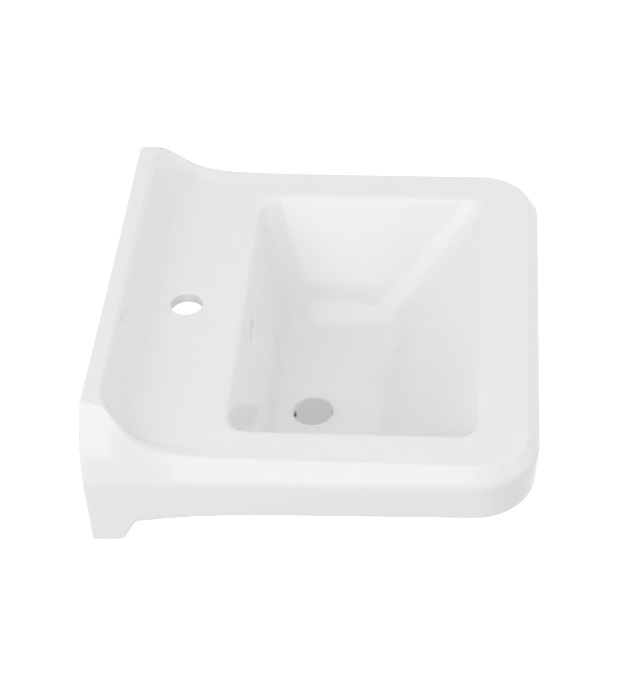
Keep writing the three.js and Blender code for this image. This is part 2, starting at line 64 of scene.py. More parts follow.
# %% Camera
EYE = Vector((-1.6982, -0.4281, 1.4119))
HEADING = 0.128  # turn of the view from +X towards +Y, in radians
DIP = 0.7095  # how far it looks down
TILT = -0.078  # roll about the line of sight
FOCAL_LENGTH = 105.4  # mm, on a sensor 36 mm along the picture's longer side


def camera_axes(heading, dip, tilt):
    """Right, up and backward unit vectors of a view that turns, dips and then rolls."""
    level = Vector((math.cos(heading), math.sin(heading), 0))
    forward = level * math.cos(dip) - Vector((0, 0, math.sin(dip)))
    right = forward.cross(Vector((0, 0, 1))).normalized()
    up = right.cross(forward)
    rolled_right = right * math.cos(tilt) + up * math.sin(tilt)
    rolled_up = up * math.cos(tilt) - right * math.sin(tilt)
    return rolled_right, rolled_up, -forward


camera = bpy.data.objects.new("camera", bpy.data.cameras.new("camera"))
bpy.context.scene.collection.objects.link(camera)
camera.data.lens = FOCAL_LENGTH
camera.data.sensor_width = 36
camera.data.clip_end = 20
camera.matrix_world = Matrix.Translation(EYE) @ Matrix(camera_axes(HEADING, DIP, TILT)).transposed().to_4x4()
bpy.context.scene.camera = camera
print("camera at", tuple(round(v, 3) for v in EYE))

# %% [markdown]
# ## Helpers for meshes
# Every new piece is a grid of points worked out as one numpy array. A grid of R rows and C columns becomes
# R x C quads when both directions close on themselves, so a torus-like body such as the basin, which has a
# hole through its outlet, needs no caps at all.

# %% Mesh helpers


def grid_faces(rows, columns, close_rows):
    """Quads between neighbouring rows and columns; columns always close, rows only where asked."""
    last = rows if close_rows else rows - 1
    i, j = np.meshgrid(np.arange(last), np.arange(columns), indexing="ij")
    below, above = i * columns, ((i + 1) % rows) * columns
    right = (j + 1) % columns
    return np.stack([below + j, above + j, above + right, below + right], axis=-1).reshape(-1, 4)


def make_object(name, points, faces, caps=()):
    """An object at the origin from points in millimetres, quads as an array and caps as lists of points."""
    mesh = bpy.data.meshes.new(name)
    mesh.from_pydata((points * MM).tolist(), [], faces.tolist() + [list(c) for c in caps])
    mesh.update()
    mesh.shade_smooth()
    made = bpy.data.objects.new(name, mesh)
    bpy.context.scene.collection.objects.link(made)
    return made


def shell_object(name, grid, close_rows=False):
    """A grid of rows x columns x 3 as an object. Open rows are closed by a cap at each end."""
    rows, columns, _ = grid.shape
    faces = grid_faces(rows, columns, close_rows)
    first = range(columns)
    final = range((rows - 1) * columns, rows * columns)
    caps = () if close_rows else (tuple(first), tuple(reversed(final)))
    return make_object(name, grid.reshape(-1, 3), faces, caps)


def sharpen(piece, degrees):
    """Marks edges that turn by more than an angle as sharp, so that smooth shading stops there."""
    piece.data.set_sharp_from_angle(angle=math.radians(degrees))


def combine(piece, cutters, operation):
    """Cuts or joins solids with the manifold solver, and removes the cutters."""
    for cutter in cutters:
        modifier = piece.modifiers.new("combine", "BOOLEAN")
        modifier.operation = operation
        modifier.object = cutter
        modifier.solver = "MANIFOLD"
    depsgraph = bpy.context.evaluated_depsgraph_get()
    result = bpy.data.meshes.new_from_object(piece.evaluated_get(depsgraph))
    piece.modifiers.clear()
    piece.data = result
    for cutter in cutters:
        bpy.data.objects.remove(cutter)


# %% [markdown]
# ## The basin's outlines
# Seen from above, every level of the basin is a rounded rectangle or a circle. The china is the surface that
# these outlines sweep as they run up the outside of the apron, over the rim, down the bowl, through the
# outlet and back up on the underside. One formula gives a rounded rectangle: straight edges joined by quarter
# ellipses. The sides near the wall instead follow a curve, because there the rim swells into the upstand.

# %% Basin sizes, mm
low, high = (np.array(corner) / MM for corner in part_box("basin"))
DEPTH = 457  # wall to front of the belt
FLARE = 3
BELT_HALF = high[0] - FLARE + 0.16  # the belt's rounding takes 0.16 mm off the box
FLARE_RUN = 120
CHINA = 11
SHELF = 12
RIM_FALL, RIM_DATUM = 0.023, 400  # fall per millimetre, and where the rim is at z = 0
BELT_DROP = 17
BAND_SIDE, BAND_FRONT = 13.5, 11
FRONT_CORNER = 66
UPSTAND_TOP = 61
UPSTAND_DEPTH, UPSTAND_FACE = 19.5, 12.5
SHOULDER_START, SHOULDER_RUN, SHOULDER_POWER = 14, 31.5, 2.75
SHOULDER_LEAN, SHOULDER_SWELL = 22, 0.22
ZONE_END = -150
CREST, CREST_CORNER = 4, (40, 26)
FOOT_INSIDE, FOOT_CORNER = 17.5, (30, 35)
BACK_WALL = 12
APRON_DROP, APRON_DIP, APRON_DIP_START = 61, 9, 196
LEAN_SIDE, LEAN_FRONT = 0.8, 4
LUG_DROP, LUG_DEPTH, LUG_SLOPE = 95.5, 30, 19
DECK_DEPTH, RIM_SIDE, RIM_FRONT = 139, 57, 60.5
BOWL_CORNER, BOWL_DEPTH, BACK_LEAN = 22, 140, 21
FLOOR_HALF, FLOOR_LENGTH, FLOOR_CORNER = 125, 130, 46
OUTLET_Y, OUTLET_RADIUS, SEAT_RADIUS = -204.8, 22.5, 37
SEAT_LEVEL, MOUTH_LEVEL, OUTLET_BOTTOM = -146, -149, low[2]
HEEL = 2.5  # small rounding of the two corners at the wall
print("basin box in mm:", low.round(1), high.round(1))

# %% Levels: smooth steps between the rim and the upstand, and along the apron's lower edge


def smooth(t):
    """3t^2 - 2t^3 between 0 and 1, flat outside."""
    t = np.clip(t, 0, 1)
    return t * t * (3 - 2 * t)


def rim_level(y):
    """A plane that falls 23 mm per metre towards the front."""
    return RIM_FALL * (y + RIM_DATUM)


UPSTAND_RISE = UPSTAND_TOP - rim_level(0)


def shoulder(y):
    """Height of the upstand's end above the rim: H / (1 + (distance / run)^power), steep, then a long tail."""
    beyond = np.maximum(-y - SHOULDER_START, 0) / SHOULDER_RUN
    return UPSTAND_RISE / (1 + beyond**SHOULDER_POWER)


def crest_level(y):
    return rim_level(y) + shoulder(y)


def under_shelf(y):
    return rim_level(y) - SHELF


def apron_bottom(y):
    """A level edge that dips as a parabola towards the wall and drops by a smooth step to the lugs."""
    dip = np.clip((y + APRON_DIP_START) / (APRON_DIP_START - LUG_DEPTH - LUG_SLOPE), 0, 1)
    edge = APRON_DROP + APRON_DIP * dip**2
    lug = 1 - smooth((-y - LUG_DEPTH) / LUG_SLOPE)
    return -edge - (LUG_DROP - edge) * lug


def belt_half(y):
    return BELT_HALF + FLARE * (1 - smooth(-y / FLARE_RUN))


def crest_half(y):
    return BELT_HALF - BAND_SIDE - SHOULDER_LEAN * (shoulder(y) / UPSTAND_RISE) ** 2


def band_half(y):
    return (belt_half(y) + crest_half(y)) / 2 + SHOULDER_SWELL * shoulder(y)


# %% Outlines: half of each is worked out and the other half is its mirror image
STEPS = {"rear": 36, "heel": 7, "zone": 62, "side": 34, "corner": 34, "front": 34}
TURN_STEPS = STEPS["heel"] + 30  # what a short rear corner takes of heel and zone together
HALF_COUNT = sum(STEPS.values())


def fractions(name):
    return np.arange(STEPS[name]) / STEPS[name]


def close_outline(x, y):
    """Adds the mirror image at -X, so that the outline runs once round."""
    half = np.stack([x, y], axis=1)
    return np.concatenate([half, half[1:-1][::-1] * [-1, 1]])


def front_part(size, side_at, rear_end):
    """The side, a front quarter ellipse and half the front edge. size = (half, front, corner x and y)."""
    half, front, corner_x, corner_y = size
    side_end = front + corner_y
    side_y = rear_end + (side_end - rear_end) * fractions("side")
    turn = fractions("corner") * math.pi / 2
    corner = half - corner_x * (1 - np.cos(turn)), side_end - corner_y * np.sin(turn)
    edge = (half - corner_x) * (1 - fractions("front")), np.full(STEPS["front"], front)
    return [side_at(side_y), corner[0], edge[0], [0]], [side_y, corner[1], edge[1], [front]]


def joined(rear_half, rear, zone_x, zone_y, size, side_at, rear_end):
    """Rear edge, rear corner or curve, then the front part, and the mirror image of it all."""
    front_x, front_y = front_part(size, side_at, rear_end)
    x = [rear_half * fractions("rear"), zone_x, *front_x]
    y = [np.full(STEPS["rear"], rear), zone_y, *front_y]
    return close_outline(np.concatenate(x), np.concatenate(y))


def straight(half):
    return lambda y: np.full(np.shape(y), float(half))


def rounded(half, rear, front, corner):
    """A rounded rectangle whose four corners are alike."""
    turn = np.arange(STEPS["heel"] + STEPS["zone"]) / (STEPS["heel"] + STEPS["zone"]) * math.pi / 2
    zone_x = half - corner * (1 - np.sin(turn))
    zone_y = rear - corner * (1 - np.cos(turn))
    size = (half, front, corner, corner)
    return joined(half - corner, rear, zone_x, zone_y, size, straight(half), rear - corner)


def curved(side_at, rear, size):
    """Sides that follow a curve up to a small rounded heel at the rear edge."""
    heel_turn = fractions("heel") * math.pi / 2
    rear_half = side_at(np.array(float(rear)))
    along = rear - HEEL + (ZONE_END - rear + HEEL) * (1 - np.cos(fractions("zone") * math.pi / 2))
    zone_x = np.concatenate([rear_half - HEEL * (1 - np.sin(heel_turn)), side_at(along)])
    zone_y = np.concatenate([rear - HEEL * (1 - np.cos(heel_turn)), along])
    return joined(rear_half - HEEL, rear, zone_x, zone_y, size, side_at, ZONE_END)


def turned_in(side_at, rear, corner, size):
    """Rear corners that are quarter ellipses, after which the sides follow a curve."""
    turn_x, turn_y = corner
    turn_end = rear - turn_y
    outer = side_at(np.array(float(turn_end)))
    turn = np.arange(TURN_STEPS) / TURN_STEPS * math.pi / 2
    rest = np.arange(TURN_STEPS - STEPS["heel"], STEPS["zone"]) / STEPS["zone"]
    passed = 1 - math.cos(rest[0] * math.pi / 2)
    share = (1 - np.cos(rest * math.pi / 2) - passed) / (1 - passed)
    along = turn_end + (ZONE_END - turn_end) * share
    zone_x = np.concatenate([outer - turn_x * (1 - np.sin(turn)), side_at(along)])
    zone_y = np.concatenate([rear - turn_y * (1 - np.cos(turn)), along])
    return joined(outer - turn_x, rear, zone_x, zone_y, size, side_at, ZONE_END)


def circle(radius):
    """A circle round the outlet, run the same way."""
    turn = np.linspace(0, math.pi, HALF_COUNT + 1)
    return close_outline(radius * np.sin(turn), OUTLET_Y + radius * np.cos(turn))


def inside_belt(inside_x, inside_y):
    """Half-width, front and front corner of an outline at a distance inside the belt."""
    corner_x, corner_y = max(FRONT_CORNER - inside_x, 1), max(FRONT_CORNER - inside_y, 1)
    return BELT_HALF - inside_x, inside_y - DEPTH, corner_x, corner_y


def apron(inside_x, inside_y, rear):
    return curved(lambda y: belt_half(y) - inside_x, rear, inside_belt(inside_x, inside_y))


def band():
    return curved(band_half, 0, inside_belt(BAND_SIDE / 2, BAND_FRONT / 2))


def crest():
    return curved(crest_half, 0, inside_belt(BAND_SIDE, BAND_FRONT))


def crest_inner():
    size = inside_belt(BAND_SIDE + CREST, BAND_FRONT + CREST)
    return turned_in(lambda y: crest_half(y) - CREST, -UPSTAND_DEPTH, CREST_CORNER, size)


def foot():
    """Where the upstand and the shallow slope at the sides meet the deck."""
    side_at = straight(BELT_HALF - BAND_SIDE - FOOT_INSIDE)
    size = inside_belt(BAND_SIDE + FOOT_INSIDE, BAND_FRONT + FOOT_INSIDE)
    return turned_in(side_at, -UPSTAND_DEPTH - UPSTAND_FACE, FOOT_CORNER, size)


def opening(outside):
    half, front = BELT_HALF - RIM_SIDE + outside, RIM_FRONT - DEPTH - outside
    return rounded(half, outside - DECK_DEPTH, front, BOWL_CORNER + outside)


def floor(outside):
    rear = outside - DECK_DEPTH - BACK_LEAN
    front = rear - FLOOR_LENGTH - 2 * outside
    return rounded(FLOOR_HALF + outside, rear, front, FLOOR_CORNER + outside)


# %% [markdown]
# ## Rounding the edges
# A pencil-sharp edge on china would chip and would hold no glaze, so every edge is rounded. Where one outline
# bends the surface, a quadratic curve takes its place: it leaves the face below at some distance from the
# edge, is pulled towards the edge and lands on the face above at the same distance. Between two such curves
# the faces are straight and are cut into a few strips.

# %% Rounding


def ring(outline, level, reach, curve=8, strips=1):
    """One outline at its level, its rounding's reach, and how many rows its curve and next face get."""
    y = outline[:, 1]
    z = level(y) if callable(level) else np.full(len(y), float(level))
    points = np.column_stack([outline, z])
    spread = reach(outline) if callable(reach) else np.full(len(y), float(reach))
    return {"points": points, "reach": spread, "curve": curve, "strips": strips}


def rounded_rows(rings):
    """Rows of points: B(t) = (1-t)^2 start + 2t(1-t) edge + t^2 end at each edge, then straight strips."""
    starts, ends = [], []
    for k, here in enumerate(rings):
        corner = here["points"]
        back = rings[k - 1]["points"] - corner
        ahead = rings[(k + 1) % len(rings)]["points"] - corner
        back_length = np.linalg.norm(back, axis=1)
        ahead_length = np.linalg.norm(ahead, axis=1)
        reach = np.minimum(here["reach"], 0.46 * np.minimum(back_length, ahead_length))
        starts.append(corner + back * (reach / back_length)[:, None])
        ends.append(corner + ahead * (reach / ahead_length)[:, None])
    rows = []
    for k, here in enumerate(rings):
        t = np.linspace(0, 1, here["curve"] + 1)[:, None, None]
        rows.append((1 - t) ** 2 * starts[k] + 2 * t * (1 - t) * here["points"] + t**2 * ends[k])
        s = (np.arange(1, here["strips"]) / here["strips"])[:, None, None]
        rows.append((1 - s) * ends[k] + s * starts[(k + 1) % len(rings)])
    return np.concatenate(rows)


def floor_turn(half):
    """The bowl's walls meet its floor in a long curve at the sides and in a short one at front and rear."""

    def reach(outline):
        middle = -(DECK_DEPTH + BACK_LEAN + FLOOR_LENGTH / 2)
        sideways = np.abs(outline[:, 0]) / half
        lengthways = np.abs(outline[:, 1] - middle) / (FLOOR_LENGTH / 2)
        return 17 + 45 * smooth((sideways - lengthways + 0.5) / 0.6)

    return reach


# %% The china's skin
BOSS_RADIUS = OUTLET_RADIUS + 10.5
china_rings = [
    ring(apron(LEAN_SIDE, LEAN_FRONT, 0), apron_bottom, 4, 6, 5),
    ring(apron(0, 0, 0), -BELT_DROP, 5, 8),
    ring(band(), lambda y: (crest_level(y) - BELT_DROP) / 2, 24, 8),
    ring(crest(), crest_level, 6, 8),
    ring(crest_inner(), crest_level, 5, 8, 3),
    ring(foot(), rim_level, 11, 10, 8),
    ring(opening(0), rim_level, 6, 9, 9),
    ring(floor(0), -BOWL_DEPTH, floor_turn(FLOOR_HALF), 16, 5),
    ring(circle(SEAT_RADIUS), SEAT_LEVEL, 2.5, 5, 2),
    ring(circle(OUTLET_RADIUS), MOUTH_LEVEL, 3, 6, 3),
    ring(circle(OUTLET_RADIUS), OUTLET_BOTTOM, 2, 4),
    ring(circle(BOSS_RADIUS), OUTLET_BOTTOM, 3, 5),
    ring(circle(BOSS_RADIUS + 2), SEAT_LEVEL - SHELF, 7, 6),
    ring(floor(CHINA), -BOWL_DEPTH - CHINA, floor_turn(FLOOR_HALF + CHINA), 12, 6),
    ring(opening(CHINA), under_shelf, 10, 7, 4),
    ring(apron(CHINA, CHINA, -BACK_WALL), under_shelf, 10, 7, 3),
    ring(apron(CHINA + LEAN_SIDE, CHINA + LEAN_FRONT, -BACK_WALL), apron_bottom, 4, 6),
]
china_grid = rounded_rows(china_rings)
basin = shell_object("china_basin", china_grid, close_rows=True)
print("china skin:", china_grid.shape)

# %% [markdown]
# ## Holes with soft lips
# The tap hole, the overflow and the pockets are punched while the clay is soft, and their lips are sponged
# round. A cutter that only had straight walls would leave a knife edge, so each cutter flares by a quarter
# circle where it leaves the surface. It is one outline, grown or shrunk as it goes deeper.

# %% Cutters


def punch(name, half_x, half_y, corner, depth, lip, foot=0.0, over=3.0, count=12):
    """A cutter from a rounded rectangle half_x by half_y that goes down -Z from 0 to depth.

    Its growth at a distance d below the surface is lip - sqrt(lip^2 - (lip - d)^2), a quarter circle; the
    same formula with the other sign rounds its foot."""
    turn = np.linspace(0, math.pi / 2, 7)
    levels = [over, 0.0] + list(-lip * (1 - np.cos(turn[1:]))) if lip else [over]
    growth = [lip, lip] + list(lip * (1 - np.sin(turn[1:]))) if lip else [0.0]
    levels += list(-depth + foot * (1 - np.sin(turn))) if foot else [-depth]
    growth += list(-foot * (1 - np.cos(turn))) if foot else [0.0]
    angle = np.linspace(0, 2 * math.pi, 4 * count, endpoint=False) + math.pi / (4 * count)
    sign_x, sign_y = np.sign(np.cos(angle)), np.sign(np.sin(angle))
    grow = np.array(growth)[:, None]
    radius = np.maximum(corner + grow, 0.05)
    x = sign_x * (half_x - corner) + radius * np.cos(angle)
    y = sign_y * (half_y - corner) + radius * np.sin(angle)
    z = np.repeat(np.array(levels)[:, None], len(angle), axis=1)
    grid = np.stack([x, y, z], axis=-1)
    return shell_object(name, grid)


def place(piece, matrix):
    """Moves a piece's own points, in millimetres, and keeps its object at the origin."""
    scale = Matrix.Scale(1 / MM, 4)
    piece.data.transform(scale.inverted() @ matrix @ scale)
    return piece


def facing_wall(x, y, z):
    """Turns a cutter made along -Z so that it goes in along -Y, and carries it to its place."""
    return Matrix.Translation((x, y, z)) @ Matrix.Rotation(-math.pi / 2, 4, "X")


def prism(name, outline, half_width):
    """A polygon in y and z, given anticlockwise as seen from +X, carried along X."""
    y, z = np.array(outline[::-1]).T
    row = np.stack([np.zeros_like(y), y, z], axis=-1)
    return shell_object(name, np.stack([row - [half_width, 0, 0], row + [half_width, 0, 0]]))


# %% Sizes of the holes and of the thick block that holds the hanger, mm
TAP_Y, TAP_RADIUS = -75.8, 17.5
OVERFLOW_LEVEL, OVERFLOW_HALF, OVERFLOW_TALL = -28, 15, 4
DUCT_GAP, DUCT_WALL, DUCT_SET = 8, 6, 3
PORT_TOP = MOUTH_LEVEL - 9  # where the passage opens into the outlet
RELIEF_HALF, RELIEF_TOP, RELIEF_DEPTH = 104, -9, 10
LIP_FACE, POCKET_BACK = -20.6, -24.9
HOOK_X, POCKET_HALF, HOOK_SEAT, POCKET_TOP = 70, 21, -34.3, -16
NOTCH_TOP = float(apron_bottom(np.array(-LUG_DEPTH - LUG_SLOPE))) + 2
ANCHOR_X, ANCHOR_LEVEL = 128, -80


def bowl_back(z):
    """The bowl's rear wall leans 21 mm forward between the rim and the floor."""
    top = rim_level(-DECK_DEPTH)
    return -DECK_DEPTH - BACK_LEAN * (top - z) / (top + BOWL_DEPTH)


def overflow_housing():
    """A duct that falls behind the bowl and turns forward into the side of the outlet."""
    outer = CHINA - DUCT_SET + DUCT_GAP + DUCT_WALL
    top = under_shelf(-DECK_DEPTH) + 2
    inside = OUTLET_Y + OUTLET_RADIUS + 4
    low_edge = PORT_TOP - DUCT_GAP - DUCT_WALL
    outline = [
        (bowl_back(top) + outer, top),
        (bowl_back(top) + 2, top),
        (bowl_back(-BOWL_DEPTH) + 6, -BOWL_DEPTH),
        (inside, -BOWL_DEPTH - CHINA + DUCT_SET),
        (inside, low_edge),
        (bowl_back(low_edge + DUCT_WALL) + outer - 8, low_edge),
        (bowl_back(-BOWL_DEPTH) + outer, -BOWL_DEPTH),
    ]
    return prism("housing", outline, OVERFLOW_HALF + DUCT_WALL)


def overflow_passage():
    """The hollow inside that duct, from behind the slot to the outlet."""
    near = CHINA - DUCT_SET
    far = near + DUCT_GAP
    top = OVERFLOW_LEVEL + OVERFLOW_TALL + 3
    inside = OUTLET_Y + OUTLET_RADIUS - 2
    turn = -BOWL_DEPTH - 4
    port_bottom = PORT_TOP - DUCT_GAP
    outline = [
        (bowl_back(top) + far, top),
        (bowl_back(top) + near, top),
        (bowl_back(turn) + near + 2, turn),
        (bowl_back(PORT_TOP) + near - 2, PORT_TOP),
        (inside, PORT_TOP),
        (inside, port_bottom),
        (bowl_back(port_bottom) + far - 6, port_bottom),
        (bowl_back(turn) + far, turn),
    ]
    return prism("passage", outline, OVERFLOW_HALF)


def hanger_block():
    """The thick part of the back, from behind the pockets to inside the back wall."""
    half = RELIEF_HALF + CHINA
    rear, front = -BACK_WALL / 2, POCKET_BACK - CHINA
    tall = under_shelf(0) + SHELF / 2 - NOTCH_TOP
    block = punch("block", half, tall / 2, 8, rear - front, 0, foot=6, over=0)
    return place(block, facing_wall(0, rear, NOTCH_TOP + tall / 2))


# %% Cut the china
def cut_china():
    """Adds the block and the housing, and takes out every hole."""
    combine(basin, [hanger_block(), overflow_housing()], "UNION")
    tall = 60
    relief = punch("relief", RELIEF_HALF, tall, 6, RELIEF_DEPTH, 1.6, foot=2.5)
    place(relief, facing_wall(0, 0, RELIEF_TOP - tall))
    notch = punch("notch", RELIEF_HALF, tall, 6, BACK_WALL + 6, 1.6)
    place(notch, facing_wall(0, 0, NOTCH_TOP - tall))
    cutters = [relief, notch, overflow_passage()]
    for x in (-HOOK_X, HOOK_X):
        under = punch("under", POCKET_HALF, 40, 3, -POCKET_BACK, 0, foot=3)
        cutters.append(place(under, facing_wall(x, 0, HOOK_SEAT - 40)))
        behind = punch("behind", POCKET_HALF, 40, 1.5, LIP_FACE - POCKET_BACK, 0, over=0)
        cutters.append(place(behind, facing_wall(x, LIP_FACE, POCKET_TOP - 40)))
    for x in (-ANCHOR_X, ANCHOR_X):
        hole = punch("anchor_hole", 5.5, 5.5, 5.5, BACK_WALL + 4, 1.2)
        cutters.append(place(hole, facing_wall(x, 0, ANCHOR_LEVEL)))
    deck_level = float(rim_level(TAP_Y))
    tap = punch("tap_hole", TAP_RADIUS, TAP_RADIUS, TAP_RADIUS, SHELF + 4, 1.8, count=24)
    tilt = Matrix.Rotation(math.atan(RIM_FALL), 4, "X")
    cutters.append(place(tap, Matrix.Translation((0, TAP_Y, deck_level)) @ tilt))
    slot = punch("overflow", OVERFLOW_HALF, OVERFLOW_TALL, OVERFLOW_TALL - 0.2, CHINA, 1.6)
    lean = math.atan2(BACK_LEAN, rim_level(-DECK_DEPTH) + BOWL_DEPTH)
    back = Matrix.Rotation(math.pi / 2 + lean, 4, "X")
    cutters.append(place(slot, Matrix.Translation((0, bowl_back(OVERFLOW_LEVEL), OVERFLOW_LEVEL)) @ back))
    combine(basin, cutters, "DIFFERENCE")
    basin.data.shade_smooth()
    sharpen(basin, 32)


cut_china()
print("china after cutting:", len(basin.data.polygons), "faces")

# %% [markdown]
# ## Steel and rubber
# The hanger is pressed from 3 mm sheet, its screws are rolled and its washers are stamped. All of them are
# shapes of two parameters: an outline grown or shrunk along an axis, or a radius that depends on the angle
# round the axis and on the distance along it. A thread is such a radius too: it rises and falls with the
# distance minus the share of a turn already made, so the ridge climbs like a staircase.

# %% Turned pieces, their axes along Y


def turned(name, radius, along, angles, x, z):
    """Radius (rows x columns) at distances out from the wall (rows), round an axis through x and z."""
    grid_x = x + radius * np.sin(angles)[None, :]
    grid_z = z + radius * np.cos(angles)[None, :]
    grid_y = np.repeat(-along[:, None], len(angles), axis=1)
    return shell_object(name, np.stack([grid_x, grid_y, grid_z], axis=-1))


def thread(along, angles, start, end, radius, pitch, height):
    """radius plus height times a triangle wave of distance / pitch + angle / turn, faded in and out."""
    wave = (along[:, None] / pitch + angles[None, :] / (2 * math.pi)) % 1
    ridge = np.clip(1 - np.abs(wave - 0.5) / 0.32, 0, 1)
    fade = np.clip((along - start) / pitch, 0, 1) * np.clip((end - along) / pitch, 0, 1)
    return radius + height * (ridge - 0.35) * fade[:, None]


def washer(name, x, z, inner, outer, start, thickness, soft=0.35):
    """A flat ring whose section is a rectangle with quarter-circle corners, run round once."""
    turn = np.linspace(0, math.pi / 2, 5)
    corners = [(outer - soft, start + thickness - soft, 0), (outer - soft, start + soft, 1)]
    corners += [(inner + soft, start + soft, 2), (inner + soft, start + thickness - soft, 3)]
    radius, along = [], []
    for middle_radius, middle_along, quarter in corners:
        angle = math.pi / 2 - turn - quarter * math.pi / 2
        radius.append(middle_radius + soft * np.cos(angle))
        along.append(middle_along + soft * np.sin(angle))
    radius, along = np.concatenate(radius), np.concatenate(along)
    angles = np.linspace(0, 2 * math.pi, 64, endpoint=False)
    grid_x = x + radius[:, None] * np.sin(angles)
    grid_z = z + radius[:, None] * np.cos(angles)
    grid_y = np.repeat(-along[:, None], len(angles), axis=1)
    return shell_object(name, np.stack([grid_x, grid_y, grid_z], axis=-1)[::-1], close_rows=True)


def round_head_screw(name, x, z):
    """Pointed shank with a coarse thread, and a domed head with a driving slot."""
    angles = np.linspace(0, 2 * math.pi, 48, endpoint=False)
    shank_along = np.linspace(-27.7, 4.6, 150)
    core = 2.15 * np.clip((shank_along + 28) / 5, 0.04, 1) ** 0.6
    shank = thread(shank_along, angles, -27, 0, 0, 2.2, 0.75) + core[:, None]
    turn = np.linspace(0, math.pi / 2, 12)[1:]
    head_along = 5.2 + 2.6 * np.sin(turn)
    head_radius = np.maximum(5 * np.cos(turn) ** 0.62, 0.1)
    seat = np.array([[4.8, 4.75], [4.8, 5.1]])
    along = np.concatenate([shank_along, seat[:, 0], head_along])
    plain = np.concatenate([seat[:, 1], head_radius])[:, None] * np.ones_like(angles)
    screw = turned(name, np.concatenate([shank, plain]), along, angles, x, z)
    slot = punch("slot", 0.6, 7, 0.15, 1.5, 0, over=2)
    place(slot, Matrix.Translation((x, -7.9, z)) @ Matrix.Rotation(math.pi / 2, 4, "X"))
    combine(screw, [slot], "DIFFERENCE")
    return screw


def hex_screw(name, x, z):
    """Pointed shank with a coarse thread, a collar and a chamfered hexagonal head."""
    angles = np.linspace(0, 2 * math.pi, 72, endpoint=False)
    shank_along = np.linspace(-30.7, 16.9, 220)
    core = 3.35 * np.clip((shank_along + 31) / 8, 0.04, 1) ** 0.6
    shank = thread(shank_along, angles, -29.5, 6, 0, 3.4, 1.1) + core[:, None]
    sixth = math.pi / 3
    hexagon = 6.5 / np.cos((angles + sixth / 2) % sixth - sixth / 2)
    head_along = np.array([17.0, 17.05, 17.4, 21.2, 21.6, 22.0, 22.25])
    chamfer = np.array([6.4, 6.6, 8.0, 7.6, 7.0, 6.3, 5.6])[:, None]
    head = np.minimum(hexagon[None, :], chamfer)
    head[-1] = 5.2
    along = np.concatenate([shank_along, head_along])
    return turned(name, np.concatenate([shank, head]), along, angles, x, z)


def hook(name, x):
    """A strip 30 mm wide and 3 mm thick that runs out from the plate, bends up and ends behind the lip."""
    bend, middle = 3.5, 1.5
    turn = np.linspace(0, math.pi / 2, 9)
    corner_y, corner_z = -22.4 + bend, -36.1 + bend
    y = np.concatenate([[-1.2, -8, -14], corner_y - bend * np.sin(turn), [-22.4, -22.4]])
    z = np.concatenate([[-36.1] * 3, corner_z - bend * np.cos(turn), [-26, -19.3]])
    path = np.column_stack([y, z])
    tangent = np.gradient(path, axis=0)
    tangent /= np.linalg.norm(tangent, axis=1)[:, None]
    normal = np.column_stack([-tangent[:, 1], tangent[:, 0]])
    angle = np.linspace(0, 2 * math.pi, 48, endpoint=False) + math.pi / 48
    soft = 0.6
    across = np.sign(np.cos(angle)) * (15 - soft) + soft * np.cos(angle)
    through = np.sign(np.sin(angle)) * (middle - soft) + soft * np.sin(angle)
    grid_x = np.repeat((x + across)[None, :], len(path), axis=0)
    grid_y = path[:, :1] + normal[:, :1] * through[None, :]
    grid_z = path[:, 1:] + normal[:, 1:] * through[None, :]
    return shell_object(name, np.stack([grid_x, grid_y, grid_z], axis=-1))


def make_hanger():
    """A plate with rounded corners and edges, two hooks and three screw holes."""
    plate_top, plate_bottom = -12, -60
    plate = punch("hanger_plate", 98, 24, 8, 3, 0, foot=0.5, over=0)
    place(plate, facing_wall(0, 0, (plate_top + plate_bottom) / 2))
    combine(plate, [hook("left_hook", -HOOK_X), hook("right_hook", HOOK_X)], "UNION")
    holes = [punch("hole", 3, 3, 3, 6, 0) for _ in SCREW_X]
    for x, hole in zip(SCREW_X, holes):
        place(hole, facing_wall(x, 0, SCREW_LEVEL))
    combine(plate, holes, "DIFFERENCE")
    return plate


SCREW_X, SCREW_LEVEL = (-42, 0, 42), -47
hardware = {"hanger_plate": ("wall_hanger", make_hanger())}
for number, x in enumerate(SCREW_X, start=1):
    hardware[f"round_head_screw_{number}"] = (
        f"hanger_screw_{number}", round_head_screw(f"round_head_screw_{number}", x, SCREW_LEVEL))
    hardware[f"small_washer_{number}"] = (
        f"hanger_washer_{number}", washer(f"small_washer_{number}", x, SCREW_LEVEL, 2.8, 6.5, 3.3, 1.2))
for side, x in (("left", -ANCHOR_X), ("right", ANCHOR_X)):
    hardware[f"lag_screw_{side}"] = (
        f"anchor_screw_{side}", hex_screw(f"lag_screw_{side}", x, ANCHOR_LEVEL))
    hardware[f"steel_washer_{side}"] = (
        f"anchor_washer_{side}", washer(f"steel_washer_{side}", x, ANCHOR_LEVEL, 4.3, 12, 15.1, 1.6))
    hardware[f"soft_washer_{side}"] = (
        f"rubber_washer_{side}", washer(f"soft_washer_{side}", x, ANCHOR_LEVEL, 4.3, 13, 12.3, 2.5, 0.8))
for piece_name, (_, piece) in hardware.items():
    piece.name = piece_name
    sharpen(piece, 35)
print("hardware pieces:", len(hardware))

# %% [markdown]
# ## Finishes
# Glaze is nearly colourless glass over a white body. Its colour comes from the body, its shine from a smooth
# surface with a very slight waviness left by the melt. The face against the wall is wiped clean of glaze
# before firing, so it shows the bare body: matt, creamy and finely speckled. One group of nodes makes the
# unevenness of every finish here; each material places it with its own scale.

# %% A node group shared by all finishes: two sizes of noise mixed into one value


